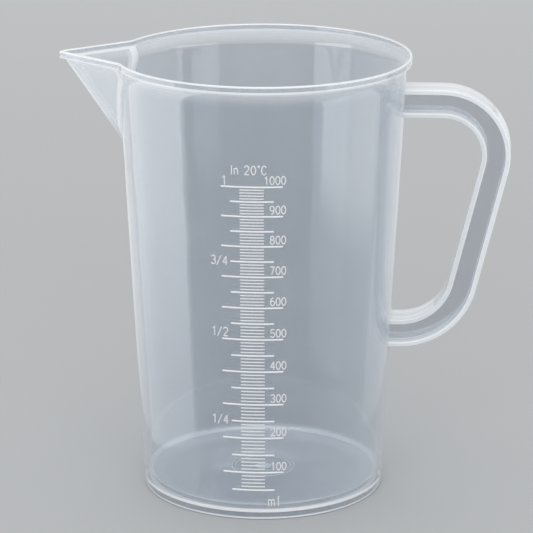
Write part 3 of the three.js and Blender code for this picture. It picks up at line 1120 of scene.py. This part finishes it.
def gloss_strip(name, watts, size, place, turn, fade, foot):
    """An upright lamp that only gloss picks up, dimmer up to a share of its height."""
    strip = panel_lamp(name, watts, size, place, (0, -90, turn))
    strip.visible_diffuse = False
    strip.data.use_nodes = True
    tree = strip.data.node_tree
    height = tree.nodes.new("ShaderNodeSeparateXYZ")
    tree.links.new(tree.nodes.new("ShaderNodeNewGeometry").outputs["Parametric"], height.inputs[0])
    glow = ramp(tree, height.outputs["X"], start=0.0, end=fade, low=foot, high=1.0)
    tree.links.new(glow, tree.nodes["Emission"].inputs["Strength"])


def lay_floor(studio):
    """A pale sheet for the jug to stand on."""
    bm = bmesh.new()
    bmesh.ops.create_grid(bm, x_segments=1, y_segments=1, size=FLOOR_HALF)
    mesh = bpy.data.meshes.new("floor_sheet")
    bm.to_mesh(mesh)
    bm.free()
    sheet = new_piece("floor_sheet", mesh)
    sheet.location.z = -FLOOR_GAP
    material = bpy.data.materials.new("pale_floor")
    material.use_nodes = True
    paint = material.node_tree.nodes["Principled BSDF"]
    paint.inputs["Base Color"].default_value = (*studio.floor, 1.0)
    paint.inputs["Roughness"].default_value = FLOOR_ROUGHNESS
    paint.inputs["Specular IOR Level"].default_value = 0.0
    mesh.materials.append(material)


def hang_lamps(studio):
    """Soft boxes for even light, and lamps that only gloss picks up."""
    for name, key, size, place, turn in SOFT_BOXES:
        soft_box = panel_lamp(name, getattr(studio, key), size, place, turn)
        soft_box.visible_glossy = False
    for name, share, size, place, turn, fade, foot in STRIPS:
        gloss_strip(name, share * studio.side_light, size, place, turn, fade, foot)
    crown = panel_lamp("crown_strip", studio.crown_light, CROWN_SIZE, CROWN_PLACE, (0, 0, 0))
    crown.visible_diffuse = False


def set_surroundings(scene, studio):
    """Even white light from all sides."""
    world = bpy.data.worlds.new("soft_room")
    world.use_nodes = True
    sky = world.node_tree.nodes["Background"]
    sky.inputs["Color"].default_value = (1.0, 1.0, 1.0, 1.0)
    sky.inputs["Strength"].default_value = studio.ambient
    scene.world = world


def set_camera(scene, studio):
    """The camera, a little above the jug and before its scale."""
    lens = bpy.data.cameras.new("camera")
    lens.lens = studio.lens
    lens.sensor_width = 36.0
    camera = bpy.data.objects.new("camera", lens)
    scene.collection.objects.link(camera)
    camera.location = studio.camera_place
    camera.rotation_euler = (math.pi / 2 - studio.camera_down, 0.0, studio.camera_turn)
    scene.camera = camera


class JUG_OT_stage(Operator):
    """Set the pale floor, the soft light and the camera"""

    bl_idname = "jug.stage"
    bl_label = "Set the studio"

    def execute(self, context):
        scene = context.scene
        studio = scene.jug_studio
        lay_floor(studio)
        hang_lamps(studio)
        set_surroundings(scene, studio)
        set_camera(scene, studio)
        scene.view_settings.view_transform = "Standard"
        scene.cycles.transparent_max_bounces = 32
        return {"FINISHED"}


class JUG_PT_panel(Panel):
    """Steps that build the jug and its studio"""

    bl_idname = "JUG_PT_panel"
    bl_label = "Measuring Jug"
    bl_space_type = "VIEW_3D"
    bl_region_type = "UI"
    bl_category = "Jug"

    def draw(self, context):
        for step in STEPS:
            self.layout.operator(step.bl_idname)
        for name in GROUPS:
            group = getattr(context.scene, name)
            box = self.layout.box()
            for key in group.bl_rna.properties.keys():
                if key not in {"rna_type", "name"}:
                    box.prop(group, key)


STEPS = (JUG_OT_bowl, JUG_OT_handle, JUG_OT_scale_lines, JUG_OT_scale_figures, JUG_OT_stage)
GROUPS = {
    "jug_body": JugBodySizes,
    "jug_spout": JugSpoutSizes,
    "jug_handle": JugHandleSizes,
    "jug_scale": JugScaleSizes,
    "jug_plastic": JugPlastic,
    "jug_studio": JugStudio,
}


def register():
    for kind in (*GROUPS.values(), *STEPS, JUG_PT_panel):
        bpy.utils.register_class(kind)
    for name, kind in GROUPS.items():
        setattr(bpy.types.Scene, name, PointerProperty(type=kind))


def unregister():
    for name in GROUPS:
        delattr(bpy.types.Scene, name)
    for kind in reversed((*GROUPS.values(), *STEPS, JUG_PT_panel)):
        bpy.utils.unregister_class(kind)


def main():
    register()
    bpy.ops.jug.bowl()
    bpy.ops.jug.handle()
    bpy.ops.jug.scale_lines()
    bpy.ops.jug.scale_figures()
    bpy.ops.jug.stage()
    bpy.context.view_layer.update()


if __name__ == "__main__":
    main()
